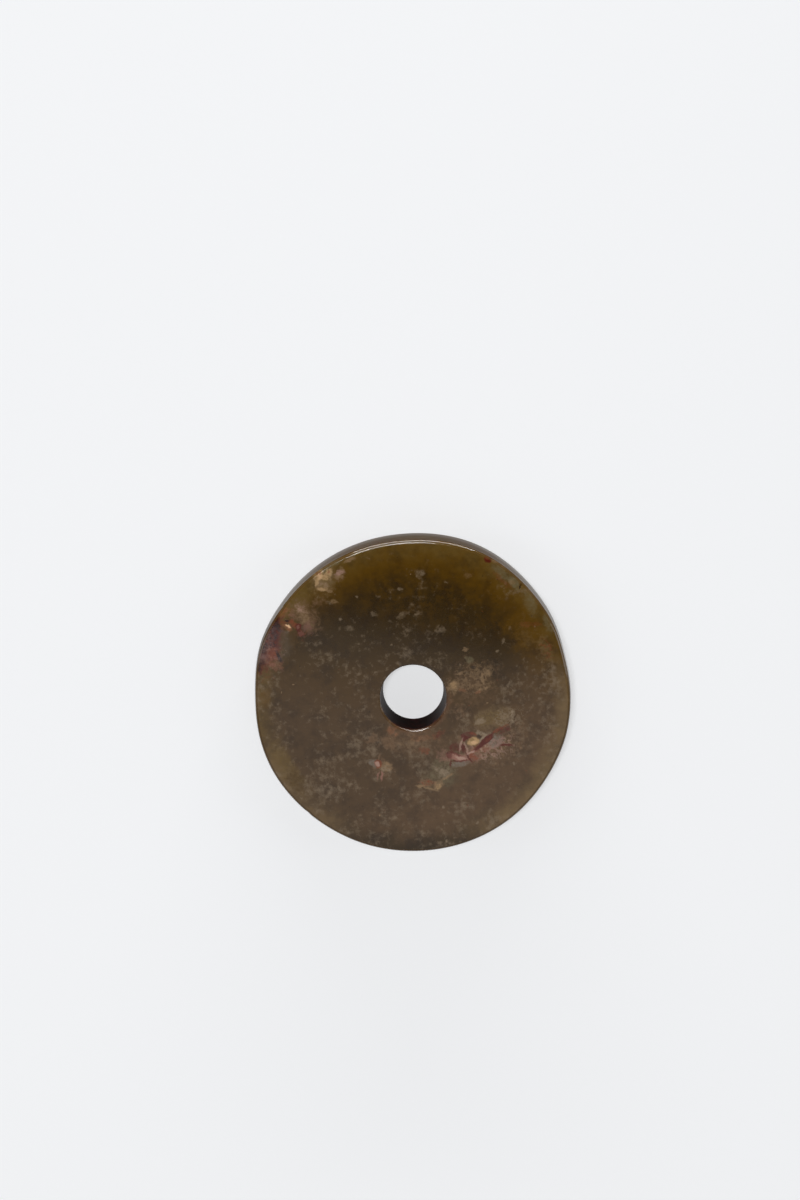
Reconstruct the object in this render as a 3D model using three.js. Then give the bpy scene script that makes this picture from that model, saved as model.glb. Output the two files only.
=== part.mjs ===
// A jade bi disc: a thick flat ring of nephrite, ground round by hand, drilled from its
// front face and polished. It is one stone, so it is one mesh.
// Millimetres, +Z up. The disc lies on its flat back with its front face up, and the origin
// is on that back plane, under the middle of the outline's box.

import * as THREE from 'three';

// Driving dimensions.
const DISC_RADIUS = 50; // at the middle of the rim's wall, where the disc is widest
const THICKNESS = 14;
const HOLE_MOUTH_RADIUS = 10.4; // in the front face, where the drill went in
const HOLE_EXIT_RADIUS = 9.5; // in the back face, narrower because the drill wore as it bit
const HOLE_CENTRE = new THREE.Vector2(0.15, -0.1); // the drill was set a hair off centre

// Worn edges, each a quarter round of this radius.
const FRONT_RIM_ROUND = 0.9;
const BACK_RIM_ROUND = 1.2;
const HOLE_MOUTH_ROUND = 0.45;
const HOLE_EXIT_ROUND = 0.5;
const RIM_BULGE = 0.2; // how far the ends of the rim's wall fall back from its middle

// Where hand grinding left the outline fuller or flatter than a true circle: the direction
// and the half width in degrees, anticlockwise from +X, and the rise in millimetres.
const SWELLS = [
  { at: 13, spread: 8, rise: -0.62 },
  { at: 67, spread: 14, rise: 0.75 },
  { at: 160, spread: 7, rise: 0.4 },
  { at: 181, spread: 7, rise: -0.38 },
  { at: 208, spread: 8, rise: 0.25 },
  { at: 238, spread: 8, rise: -0.12 },
  { at: 270, spread: 14, rise: -0.15 },
  { at: 328, spread: 10, rise: -0.28 },
  { at: 357, spread: 6, rise: -0.22 },
];

// Facets.
const AROUND = 120;
const ARC_DIVISIONS = 2; // a path gives each arc twice as many facets as this

const JADE = new THREE.MeshStandardMaterial({ color: 0x54422b, roughness: 0.3, metalness: 0 });

/** The closed section of a true round disc: x is the radius and y the height above the back. */
function sectionOutline() {
  const wallEnd = DISC_RADIUS - RIM_BULGE;
  const wallTop = THICKNESS - FRONT_RIM_ROUND;
  const wallMiddle = (wallTop + BACK_RIM_ROUND) / 2;
  const section = new THREE.Path();
  section.moveTo(HOLE_EXIT_RADIUS + HOLE_EXIT_ROUND, 0);
  section.lineTo(wallEnd - BACK_RIM_ROUND, 0);
  section.absarc(wallEnd - BACK_RIM_ROUND, BACK_RIM_ROUND, BACK_RIM_ROUND, -Math.PI / 2, 0);
  section.quadraticCurveTo(DISC_RADIUS + RIM_BULGE, wallMiddle, wallEnd, wallTop);
  section.absarc(wallEnd - FRONT_RIM_ROUND, wallTop, FRONT_RIM_ROUND, 0, Math.PI / 2);
  section.lineTo(HOLE_MOUTH_RADIUS + HOLE_MOUTH_ROUND, THICKNESS);
  section.absarc(
    HOLE_MOUTH_RADIUS + HOLE_MOUTH_ROUND,
    THICKNESS - HOLE_MOUTH_ROUND,
    HOLE_MOUTH_ROUND,
    Math.PI / 2,
    Math.PI,
  );
  section.lineTo(HOLE_EXIT_RADIUS, HOLE_EXIT_ROUND);
  section.absarc(
    HOLE_EXIT_RADIUS + HOLE_EXIT_ROUND,
    HOLE_EXIT_ROUND,
    HOLE_EXIT_ROUND,
    Math.PI,
    1.5 * Math.PI,
  );
  return section.getPoints(ARC_DIVISIONS);
}

/** How far the rim stands beyond a true circle in one direction, in radians from +X. */
function rimRise(angle) {
  return SWELLS.reduce((sum, { at, spread, rise }) => {
    const off = THREE.MathUtils.radToDeg(angle) - at;
    const turn = THREE.MathUtils.euclideanModulo(off + 180, 360) - 180;
    return sum + rise * Math.exp(-0.5 * (turn / spread) ** 2);
  }, 0);
}

/** Turns a true round ring into the hand-ground one: the rim swells and the hole moves. */
function grindByHand(geometry) {
  const position = geometry.getAttribute('position');
  const point = new THREE.Vector3();
  const flat = new THREE.Vector2();
  for (let i = 0; i < position.count; i += 1) {
    point.fromBufferAttribute(position, i);
    flat.set(point.x, point.y);
    const outward = (flat.length() - HOLE_EXIT_RADIUS) / (DISC_RADIUS - HOLE_EXIT_RADIUS);
    const rim = THREE.MathUtils.clamp(outward, 0, 1);
    flat.setLength(flat.length() + rim * rimRise(flat.angle()));
    flat.addScaledVector(HOLE_CENTRE, 1 - rim);
    position.setXY(i, flat.x, flat.y);
  }
}

/** Puts the middle of the geometry's box over the origin, with its lowest point on the floor. */
function setOnOrigin(geometry) {
  geometry.computeBoundingBox();
  const { min, max } = geometry.boundingBox;
  geometry.translate(-(min.x + max.x) / 2, -(min.y + max.y) / 2, -min.z);
}

/** The whole disc as one closed surface. */
function discGeometry() {
  const geometry = new THREE.LatheGeometry(sectionOutline(), AROUND);
  geometry.rotateX(Math.PI / 2);
  grindByHand(geometry);
  setOnOrigin(geometry);
  geometry.computeVertexNormals();
  return geometry;
}

const disc = new THREE.Mesh(discGeometry(), JADE);
disc.name = 'jade_disc';

const biDisc = new THREE.Group();
biDisc.add(disc);

export default biDisc;
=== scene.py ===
"""The looks of a jade bi disc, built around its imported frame.

The disc is one stone: a thick flat ring of dark olive-brown nephrite, ground round by hand, drilled from
its front face and polished. It lies on its back with its front face up. The frame and every mesh are in
metres. The sizes in the classes below are millimetres and degrees, as a maker would state them, and MM
turns them into metres.
"""

import logging
import math
from dataclasses import dataclass, field
from enum import Enum
from typing import Callable, NamedTuple

import bpy
import numpy as np
from mathutils import Matrix, Vector


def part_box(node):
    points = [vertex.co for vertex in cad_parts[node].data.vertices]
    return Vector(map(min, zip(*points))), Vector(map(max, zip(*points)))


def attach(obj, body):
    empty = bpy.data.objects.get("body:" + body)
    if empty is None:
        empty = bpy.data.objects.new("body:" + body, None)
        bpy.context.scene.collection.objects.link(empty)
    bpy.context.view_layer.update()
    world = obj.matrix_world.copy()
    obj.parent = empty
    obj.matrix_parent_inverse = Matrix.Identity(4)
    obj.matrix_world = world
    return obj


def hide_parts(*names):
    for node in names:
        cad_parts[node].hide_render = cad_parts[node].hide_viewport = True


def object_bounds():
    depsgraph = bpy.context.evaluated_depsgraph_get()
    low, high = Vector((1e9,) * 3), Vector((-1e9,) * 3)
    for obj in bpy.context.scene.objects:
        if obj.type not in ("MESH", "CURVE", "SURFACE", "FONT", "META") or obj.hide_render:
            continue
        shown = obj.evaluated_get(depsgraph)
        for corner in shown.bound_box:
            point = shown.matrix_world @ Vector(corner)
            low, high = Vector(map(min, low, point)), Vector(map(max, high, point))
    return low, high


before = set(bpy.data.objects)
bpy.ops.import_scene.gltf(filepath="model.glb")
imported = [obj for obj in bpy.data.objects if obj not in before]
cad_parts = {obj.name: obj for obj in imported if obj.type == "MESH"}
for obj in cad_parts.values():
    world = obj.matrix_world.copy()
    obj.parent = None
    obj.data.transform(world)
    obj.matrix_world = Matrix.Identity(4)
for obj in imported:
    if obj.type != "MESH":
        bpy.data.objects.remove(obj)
CAD_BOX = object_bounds()

MM = 0.001
FULL_TURN = 2 * math.pi
STONE_NODE = "jade_disc"
STONE_BODY = "root"

log = logging.getLogger("bi_disc")

Socket = bpy.types.NodeSocket
Colour = tuple[float, float, float, float]
Triple = tuple[float, float, float]
Pair = tuple[float, float]


class Falloff(Enum):
    """How a push of the surface fades out around its middle."""

    ROUND = "SPHERE"
    SOFT = "SMOOTH"
    EVEN = "LINEAR"


class Cloud(NamedTuple):
    """A cloudy noise: the size of its largest lumps in millimetres, how fine it goes and how rough it is."""

    size: float
    detail: float
    roughness: float


class Wander(NamedTuple):
    """A random push: how far it goes, over what distance it changes, in millimetres, and how fine it goes."""

    reach: float
    size: float
    detail: float


class Fade(NamedTuple):
    """A smooth step, from bottom where a value is at start to top where it is at end."""

    start: float
    end: float
    top: float = 1.0
    bottom: float = 0.0


class Grain(Enum):
    """What a marking is broken into: fine grains, coarse grains or fine lines."""

    FINE = "fine"
    COARSE = "coarse"
    VEINED = "veined"


class Tint(Enum):
    """The colours laid on the stone: its own colours, and some used for painted glow, shade, reflection and
    highlight.
    """

    PITCH = "#240e08"
    OXBLOOD = "#50180c"
    RUSSET = "#743a20"
    RUST = "#88583a"
    UMBER = "#30220a"
    OLIVE = "#46300c"
    BARK = "#4d3923"
    TAUPE = "#4a3c2e"
    AMBER = "#583c04"
    MOSS = "#624c22"
    HONEY = "#725c3c"
    SAGE = "#6c6248"
    TAN = "#6a5038"
    SAND = "#846a4c"
    CREAM = "#a8885e"
    # a painted highlight: where the polish catches the light, laid as colour
    GLINT = "#e0b48a"
    ROSE = "#8e6456"
    BLUSH = "#a88676"
    FROST = "#86745e"
    ASH = "#766a5e"
    SOOT = "#1c1008"

    @property
    def colour(self) -> Colour:
        """The tint as a shader takes it."""
        return linear(self.value)


def linear(tint: str) -> Colour:
    """Turns a screen colour into the linear colour that a shader takes.

    Args:
        tint: the colour as "#rrggbb".

    Returns:
        Red, green, blue and an alpha of 1.
    """
    toe, toe_slope, lift, power = 0.04045, 12.92, 0.055, 2.4  # the usual curve of a screen
    parts = [int(tint[start : start + 2], 16) / 255 for start in (1, 3, 5)]
    red, green, blue = (
        part / toe_slope if part <= toe else ((part + lift) / (1 + lift)) ** power for part in parts
    )
    return red, green, blue, 1.0


STRAY_ROUGHNESS = 0.6  # how strong the finer pushes are when a point is moved about at random
STRAY_MIDDLE: Triple = (0.5, 0.5, 0.5)  # the noise's colour where it doesn't push


class NodeBench:
    """Adds and joins the nodes of one material."""

    def __init__(self, name: str) -> None:
        """Starts a material with an output and a plain shader.

        Args:
            name: the material's name.
        """
        self.material = bpy.data.materials.new(name)
        self.material.use_nodes = True
        self.tree = self.material.node_tree
        self.tree.nodes.clear()
        self.shader = self.add("ShaderNodeBsdfPrincipled")
        output = self.add("ShaderNodeOutputMaterial")
        self.join(self.shader.outputs["BSDF"], output.inputs["Surface"])

    def add(self, kind: str, **settings: object) -> bpy.types.Node:
        """Adds a node.

        Args:
            kind: the node's type name.
            settings: the node's properties and their values.

        Returns:
            The new node.
        """
        node = self.tree.nodes.new(kind)
        for name, value in settings.items():
            setattr(node, name, value)
        return node

    def join(self, source: Socket | float | tuple, target: Socket) -> None:
        """Joins an output to an input, or sets the input to a plain value."""
        if isinstance(source, bpy.types.NodeSocket):
            self.tree.links.new(source, target)
        else:
            target.default_value = source

    def place(self) -> Socket:
        """Returns the surface point in the disc's own frame, in millimetres."""
        coordinates = self.add("ShaderNodeTexCoord")
        return self.scaled(coordinates.outputs["Object"], 1 / MM)

    def scaled(self, vector: Socket, factor: float) -> Socket:
        """Returns a vector times a number."""
        node = self.add("ShaderNodeVectorMath", operation="SCALE")
        self.join(vector, node.inputs[0])
        node.inputs["Scale"].default_value = factor
        return node.outputs[0]

    def vector(self, operation: str, *values: Socket | tuple) -> Socket:
        """Does vector arithmetic on sockets and plain vectors, and returns the result."""
        node = self.add("ShaderNodeVectorMath", operation=operation)
        for value, target in zip(values, node.inputs):
            self.join(value, target)
        return node.outputs["Value" if operation in ("LENGTH", "DISTANCE", "DOT_PRODUCT") else "Vector"]

    def math(self, operation: str, *values: Socket | float) -> Socket:
        """Does arithmetic on sockets and plain numbers, and returns the result."""
        node = self.add("ShaderNodeMath", operation=operation)
        for value, target in zip(values, node.inputs):
            self.join(value, target)
        return node.outputs["Value"]

    def noise(self, at: Socket, size: float, detail: float, roughness: float) -> bpy.types.Node:
        """Adds a cloudy noise.

        Args:
            at: the point to read it at, in millimetres.
            size: the size of its largest lumps, in millimetres.
            detail: how many times finer lumps are added.
            roughness: how strong the finer lumps are.

        Returns:
            The noise node, with its value under "Fac" and its colour under "Color".
        """
        node = self.add("ShaderNodeTexNoise")
        self.join(at, node.inputs["Vector"])
        node.inputs["Scale"].default_value = 1 / size
        node.inputs["Detail"].default_value = detail
        node.inputs["Roughness"].default_value = roughness
        return node

    def stray(self, at: Socket, reach: float, size: float, detail: float) -> Socket:
        """Pushes a point about at random, so that what is drawn from it gets ragged edges.

        Args:
            at: the point, in millimetres.
            reach: how far it may move, in millimetres.
            size: over what distance the push changes, in millimetres.
            detail: how fine the raggedness goes.

        Returns:
            The moved point.
        """
        push = self.noise(at, size, detail, STRAY_ROUGHNESS)
        centred = self.vector("SUBTRACT", push.outputs["Color"], STRAY_MIDDLE)
        return self.vector("ADD", at, self.scaled(centred, 2 * reach))

    def turned(self, at: Socket, turn: float) -> Socket:
        """Returns a point turned clockwise about the disc's axis by an angle in degrees."""
        node = self.add("ShaderNodeVectorRotate", rotation_type="Z_AXIS")
        self.join(at, node.inputs["Vector"])
        node.inputs["Angle"].default_value = -math.radians(turn)
        return self.scaled(node.outputs["Vector"], 1)

    def ramp(self, value: Socket, low: float, high: float, top: float = 1, bottom: float = 0) -> Socket:
        """Turns a value into a smooth step from bottom, at low, to top, at high."""
        node = self.add("ShaderNodeMapRange", interpolation_type="SMOOTHSTEP")
        self.join(value, node.inputs["Value"])
        for name, number in (("From Min", low), ("From Max", high), ("To Min", bottom), ("To Max", top)):
            node.inputs[name].default_value = number
        return node.outputs["Result"]

    def lay(
        self, under: Socket | tuple, over: Socket | tuple, amount: Socket | float, label: str = ""
    ) -> Socket:
        """Lays one colour over another.

        Args:
            under: the colour below.
            over: the colour on top.
            amount: how much of the top colour shows.
            label: what is laid, for a reader of the node tree.

        Returns:
            The mixed colour.
        """
        node = self.add("ShaderNodeMix", data_type="RGBA", label=label)
        for value, name in ((amount, "Factor_Float"), (under, "A_Color"), (over, "B_Color")):
            target = next(socket for socket in node.inputs if socket.identifier == name)
            self.join(value, target)
        return next(socket for socket in node.outputs if socket.identifier == "Result_Color")


FRONT = 14.0  # height of the front face above the back, in millimetres
TURN_STEP = 15  # markings are turned by whole steps of this many degrees


@dataclass(frozen=True)
class Marking:
    """One patch of colour within an inclusion.

    at is its middle, from the middle of its inclusion, and size its half widths, in millimetres. turn is
    how far it is turned anticlockwise, in degrees. edge is the share of its half width over which it fades,
    broken how far it is broken into grains, and fill how full of them it is, from 1 for a solid patch down
    to 0 for a thin sprinkle.
    """

    tint: Tint
    at: Pair
    size: Pair
    turn: int = 0
    strength: float = 0.85
    edge: float = 0.7
    broken: float = 1.4
    fill: float = 1.0
    grain: Grain = Grain.FINE


@dataclass(frozen=True)
class Smudge(Marking):
    """A marking broken into coarse grains."""

    grain: Grain = Grain.COARSE


@dataclass(frozen=True)
class Veins(Marking):
    """A marking of fine lines."""

    edge: float = 0.5
    broken: float = 1.3
    fill: float = 0.3
    grain: Grain = Grain.VEINED


@dataclass(frozen=True)
class Inclusion:
    """A natural patch in the stone, made of a few markings laid one over another.

    at is its middle on the front face and depth how far down it goes, in millimetres. Within reach of its
    middle the polish is duller by dull.
    """

    name: str
    at: Pair
    markings: tuple[Marking, ...]
    depth: float = 3.0
    reach: float = 5.0
    dull: float = 0.0


CREAM_BY_EDGE = Inclusion(
    "cream_by_edge",
    (-28, 38),
    (
        Marking(Tint.HONEY, (0.2, 0), (4, 5), strength=0.5, edge=1.0, broken=2.4),
        Marking(Tint.SAGE, (0.6, 2.7), (1.9, 1.3), turn=30, strength=0.85),
        Marking(Tint.SAGE, (3.4, 4.5), (3, 0.9), turn=30, strength=0.65, edge=0.9, broken=2),
        Marking(Tint.SAND, (-0.4, -2.6), (2.1, 1.8), strength=0.9, edge=0.5, broken=1.2),
        Marking(Tint.CREAM, (-1.6, 0.9), (1.8, 1.7), strength=0.97, edge=0.5, broken=1.2),
        Marking(Tint.CREAM, (0.4, 0), (1.9, 0.9), turn=-15, strength=0.9, edge=0.5, broken=1.2),
        Marking(Tint.CREAM, (1.8, 1.3), (1, 1.5), turn=-15, strength=0.85, edge=0.5, broken=1.2),
        Marking(Tint.CREAM, (-2, -1.4), (0.6, 1.4), strength=0.8, broken=1.1),
        Marking(Tint.CREAM, (-0.3, -3.7), (1.7, 0.5), strength=0.75, broken=1.1),
        # a painted highlight on the cream
        Marking(Tint.GLINT, (-1.2, 0.4), (1, 0.8), strength=0.4, broken=1.6),
        Marking(Tint.MOSS, (0, -1.1), (1.4, 0.5), strength=0.75, broken=1.0),
        Marking(Tint.RUST, (-2.2, 1.1), (0.4, 0.5), strength=0.85, broken=0.5),
        Marking(Tint.RUST, (-1, 1.2), (0.35, 0.5), strength=0.85, broken=0.5),
        Marking(Tint.RUST, (2, 1.7), (0.35, 0.4), strength=0.8, broken=0.5),
        Marking(Tint.MOSS, (-0.4, -2.7), (0.9, 0.4), turn=30, strength=0.5, broken=0.8),
        Marking(Tint.TAN, (5.2, 0.8), (2, 2.2), edge=0.9, broken=2.6, fill=0.7),
        Marking(Tint.BLUSH, (5.2, 1.4), (1.5, 0.8), turn=15, strength=0.6, broken=2),
        Marking(Tint.SAND, (4.9, 0.1), (1.3, 0.5), strength=0.7, broken=1.6),
        Marking(Tint.SAND, (5.7, 2.8), (0.6, 0.9), strength=0.55, broken=1.4),
        Marking(Tint.SAND, (8.3, 5.4), (1.9, 0.6), turn=15, strength=0.9, broken=1.6),
        Marking(Tint.SAND, (2.2, -4.4), (1, 0.7), strength=0.7, broken=2),
        Marking(Tint.SAND, (3.6, -7.6), (1.1, 0.7), strength=0.6, broken=2),
        Marking(Tint.TAN, (-1.8, -8), (2.8, 1.6), strength=0.7, edge=1.0, broken=3, fill=0.6),
    ),
    dull=0.15,
)

PINK_TAN_CLOUD = Inclusion(
    "pink_tan_cloud",
    (-34, 24),
    (
        Smudge(Tint.MOSS, (-1.5, 8), (4.4, 3), turn=45, strength=0.7, edge=0.9),
        Marking(Tint.HONEY, (-7.2, 1.6), (1.6, 1.6), strength=0.35, edge=1.0, broken=3, fill=0.6),
        Marking(Tint.RUST, (-6.4, 2.6), (2.6, 1.9), turn=30, strength=0.65, edge=1.0, broken=3, fill=0.8),
        Marking(Tint.ROSE, (-3.7, 1.9), (1.3, 1.6), strength=0.5, edge=0.9, broken=2.6, fill=0.7),
        Marking(Tint.TAN, (0.3, 1.8), (3.1, 5.4), turn=30, strength=0.75, edge=0.9, broken=2.6),
        Marking(Tint.SAND, (-0.2, 2.2), (1.7, 3.8), turn=30, strength=0.6, edge=0.9, broken=2.6, fill=0.8),
        Marking(Tint.BLUSH, (-1.1, 4.3), (1.1, 1.9), turn=45, strength=0.45, edge=0.9, broken=2),
        Marking(Tint.ROSE, (1.2, -1.6), (2.6, 3.4), strength=0.4, edge=1.0, broken=-3.4, fill=0.4),
        Marking(Tint.RUSSET, (-1, -3.6), (2.2, 2.2), turn=-30, strength=0.5, edge=1.0, broken=3.4, fill=0.5),
        Veins(Tint.ROSE, (-1.2, -3.8), (1.9, 1.6), turn=-45, strength=0.6, broken=1.2, fill=0.4),
    ),
)

RUSSET_RIM = Inclusion(
    "russet_rim",
    (-44, 16.5),
    (
        Marking(Tint.RUSSET, (-0.6, 0.4), (4, 9.4), turn=-15, strength=0.6, edge=0.9, broken=3, fill=0.9),
        Marking(Tint.OXBLOOD, (-1.2, 1), (3.9, 8.8), turn=-15, strength=0.97, edge=0.7, broken=0.9),
        Marking(Tint.PITCH, (-1.2, 1.6), (3.8, 8), turn=-15, strength=0.85, edge=0.6, broken=3, fill=0.9),
        Marking(Tint.OLIVE, (5.2, 1.6), (2.8, 3.9), turn=-15, strength=0.92, edge=0.8),
        Marking(Tint.PITCH, (1.2, 5.5), (1.6, 1.7), turn=-30, strength=0.95, broken=1.6),
        Marking(Tint.PITCH, (-0.4, 2.4), (1.6, 1.5), turn=15, strength=0.95, broken=1.6),
        Marking(Tint.PITCH, (-2.5, -1.2), (1.5, 1.9), strength=0.95, broken=1.6),
        Veins(Tint.OXBLOOD, (-0.6, 3), (2.6, 5.5), turn=-15, strength=0.5, edge=0.4),
        Marking(Tint.RUSSET, (0.2, -2.8), (1.9, 1.9), strength=0.85, edge=0.8, broken=1.8),
        Marking(Tint.RUSSET, (-1, 1), (3, 6.5), turn=-15, strength=0.2, edge=0.5, broken=-4, fill=0.1),
        Veins(Tint.ROSE, (-1.4, -0.4), (2.6, 6), turn=-15, strength=0.22, edge=0.35, broken=1.4, fill=0.1),
        Marking(Tint.ROSE, (-2.8, -3.8), (1.4, 1.3), strength=0.35, edge=0.9, broken=2.4),
        Marking(Tint.PITCH, (-3.5, -5.4), (1.3, 1), strength=0.8, broken=1.6),
        Marking(Tint.PITCH, (2.3, -4), (0.5, 2), turn=30, strength=0.9, broken=0.9),
        Marking(Tint.RUST, (0.2, -5.6), (3, 1.3), turn=-15, strength=0.4, edge=1.0, broken=2.6),
        Marking(Tint.ROSE, (1, -6.8), (3, 1.3), turn=-15, strength=0.25, edge=1.0, broken=3.4, fill=0.7),
        Marking(Tint.PITCH, (-4.3, -7.2), (0.7, 1.3), strength=0.8, broken=1.2),
        Marking(Tint.RUSSET, (6.9, 6.5), (1.9, 0.9), turn=-30, strength=0.9, broken=1.2),
        Marking(Tint.RUSSET, (4, 7.4), (1.6, 0.7), turn=15, strength=0.6, broken=1.8),
        Marking(Tint.OXBLOOD, (8.1, 5.9), (0.9, 1.1), strength=0.85, edge=0.4, broken=0.9),
        Marking(Tint.ROSE, (8, 5.9), (0.4, 0.5), strength=0.4, broken=0.5),
        Marking(Tint.OXBLOOD, (8.9, 3.9), (0.7, 1.6), turn=30, strength=0.6, broken=2),
        Marking(Tint.RUST, (5, 5.6), (1.5, 0.7), turn=-30, strength=0.85, broken=1.0),
        # a painted highlight on the lit edge of the pit by the glint ledge
        Marking(Tint.GLINT, (5.2, 6), (0.8, 0.32), turn=-30, strength=0.95, broken=0.4),
        Marking(Tint.PITCH, (4.6, 7.7), (0.7, 0.32), turn=-15, strength=0.9, broken=0.8),
    ),
    depth=7,
    reach=9,
    dull=0.3,
)

RED_STREAK = Inclusion(
    "red_streak",
    (20, -15),
    (
        Marking(Tint.TAN, (3.4, -0.8), (12.5, 6), turn=15, strength=0.75, edge=1.2, broken=3.4, fill=0.7),
        Marking(Tint.SAND, (4, -1), (12, 5.4), turn=15, strength=0.6, edge=0.8, broken=5, fill=0.1),
        Veins(Tint.BLUSH, (4.4, -1.4), (10, 4.4), turn=15, strength=0.5, edge=0.6, broken=1.6, fill=0.15),
        Marking(Tint.RUSSET, (2, -1), (9.5, 4.4), turn=15, strength=0.5, edge=0.8, broken=-4.5, fill=0.2),
        Marking(Tint.ROSE, (-10, -4.1), (1.7, 2.2), turn=60, strength=0.55, edge=0.9, broken=2.4),
        Marking(Tint.ASH, (5.8, 0.9), (2.6, 2), turn=15, strength=0.85, broken=1.2),
        Veins(Tint.ROSE, (6.6, 0.6), (3, 2.4), turn=15, strength=0.45),
        Marking(Tint.ASH, (-5, -6.3), (3, 1), turn=15, strength=0.8, broken=1.2),
        Marking(Tint.ROSE, (-1.6, -3.7), (2.4, 2.3), strength=0.55, edge=0.9, broken=1.8),
        Veins(Tint.RUSSET, (-1.4, -3.6), (2.6, 2.4), strength=0.85, edge=0.4, broken=1.2, fill=0.45),
        Marking(Tint.OXBLOOD, (-6.7, -1.1), (2, 1.5), strength=0.8, edge=0.8, broken=2.4),
        Marking(Tint.TAN, (-4.8, 1.2), (1.6, 1.1), strength=0.7, edge=0.8, broken=1.8),
        Marking(Tint.CREAM, (-1.1, 0.7), (1.9, 1.25), turn=15, strength=0.97, edge=0.4, broken=0.7),
        Marking(Tint.MOSS, (-1.8, 1.2), (0.9, 0.5), strength=0.5, broken=0.8),
        # a painted highlight on the cream oval
        Marking(Tint.GLINT, (-0.8, 0.3), (0.9, 0.5), turn=15, strength=0.45, broken=0.8),
        Marking(Tint.SOOT, (0.7, 2.4), (0.8, 0.7), strength=0.6, broken=0.9),
        Marking(Tint.FROST, (1.9, 3.2), (2, 0.6), turn=-15, strength=0.95, broken=1.4),
        Marking(Tint.FROST, (2, 1.9), (1.5, 0.5), turn=45, strength=0.9, broken=0.7),
        Marking(Tint.OXBLOOD, (-2.8, 2.6), (2, 1.2), turn=15, strength=0.97, edge=0.4, broken=1.0),
        Marking(Tint.OXBLOOD, (-3.7, 1.7), (0.9, 0.9), strength=0.9, edge=0.4, broken=0.8),
        Marking(Tint.RUSSET, (-1, 3.1), (1, 0.5), turn=-15, strength=0.8),
        Marking(Tint.OXBLOOD, (2.9, 1.1), (3.3, 1), turn=45, strength=0.97, edge=0.4, broken=0.8),
        Marking(Tint.RUSSET, (3.6, 1.6), (1.6, 0.4), turn=45, strength=0.5, broken=1.0),
        Marking(Tint.OXBLOOD, (0.2, -1.4), (1.7, 0.4), turn=30, strength=0.85, broken=0.7),
        Marking(Tint.RUSSET, (7.2, 4.6), (3.2, 0.6), turn=30, strength=0.85, broken=2.2, fill=0.8),
        Veins(Tint.OXBLOOD, (8.3, 4.3), (3, 1.5), turn=30, strength=0.7, edge=0.4, broken=1.4, fill=0.15),
        Marking(Tint.OXBLOOD, (9.8, 4.7), (0.9, 0.8), strength=0.7, broken=1.2),
        Marking(Tint.OXBLOOD, (9.3, -0.4), (2.1, 0.45), strength=0.85, broken=0.9),
        Marking(Tint.ROSE, (-5.9, -4.3), (3.3, 1.1), turn=-15, strength=0.97, edge=0.4, broken=0.6),
        Marking(Tint.OXBLOOD, (-8.5, -3.7), (1.1, 1.1), strength=0.7, edge=0.8, broken=0.6),
        Marking(Tint.OXBLOOD, (-6.6, -3.2), (2.3, 0.3), turn=-15, strength=0.65, broken=0.6),
        Marking(Tint.BLUSH, (-4.9, -4.5), (1.7, 0.5), turn=-15, strength=0.9, broken=0.6),
        Marking(Tint.OXBLOOD, (-5.2, -5.5), (2.8, 0.28), strength=0.7, broken=0.6),
        Marking(Tint.OXBLOOD, (-8.1, -6.2), (0.3, 1.3), turn=-15, strength=0.75, broken=0.5),
        Marking(Tint.OXBLOOD, (-4.2, -1.3), (0.7, 1.3), strength=0.85, broken=0.8),
        Marking(Tint.BLUSH, (-4.8, -0.4), (0.32, 2.1), turn=-15, strength=0.55, broken=0.7),
        Marking(Tint.BLUSH, (-3.2, -1.6), (0.26, 1.9), turn=15, strength=0.5, broken=0.7),
        Marking(Tint.OXBLOOD, (-2.5, -4.3), (2.2, 0.3), turn=-60, strength=0.85, broken=0.5),
        Marking(Tint.BLUSH, (-1.6, -2.6), (1.5, 0.4), turn=30, strength=0.8, broken=0.8),
    ),
    reach=9,
    dull=0.2,
)

PINK_CREAM = Inclusion(
    "pink_cream",
    (-10, -22),
    (
        Marking(Tint.TAN, (0.6, -0.8), (3.4, 3), turn=-15, strength=0.65, edge=0.9, broken=2.4, fill=0.8),
        Marking(Tint.ASH, (-2.2, 0.9), (1.4, 1.1), strength=0.75, broken=1.5),
        Marking(Tint.SAND, (1.4, -0.4), (2, 1.4), turn=-15, strength=0.9, edge=0.6, broken=1.5),
        Veins(Tint.FROST, (1.4, -1.2), (2, 1.6), turn=-15, strength=0.6, edge=0.4, broken=1.2, fill=0.4),
        Marking(Tint.RUSSET, (-0.8, 0.7), (1.15, 1.3), strength=0.8, edge=0.4, broken=0.6),
        Marking(Tint.BLUSH, (-1.1, 0.6), (0.65, 0.75), strength=0.8, broken=0.5),
        Marking(Tint.ROSE, (0.2, -3.3), (0.32, 1.6), strength=0.75, broken=0.8),
        Marking(Tint.ROSE, (-0.9, -3), (0.26, 1.4), turn=-15, strength=0.55, broken=0.8),
        Marking(Tint.TAN, (-0.4, 2.9), (0.3, 1.1), turn=-15, strength=0.8, broken=0.8),
    ),
)

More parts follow.
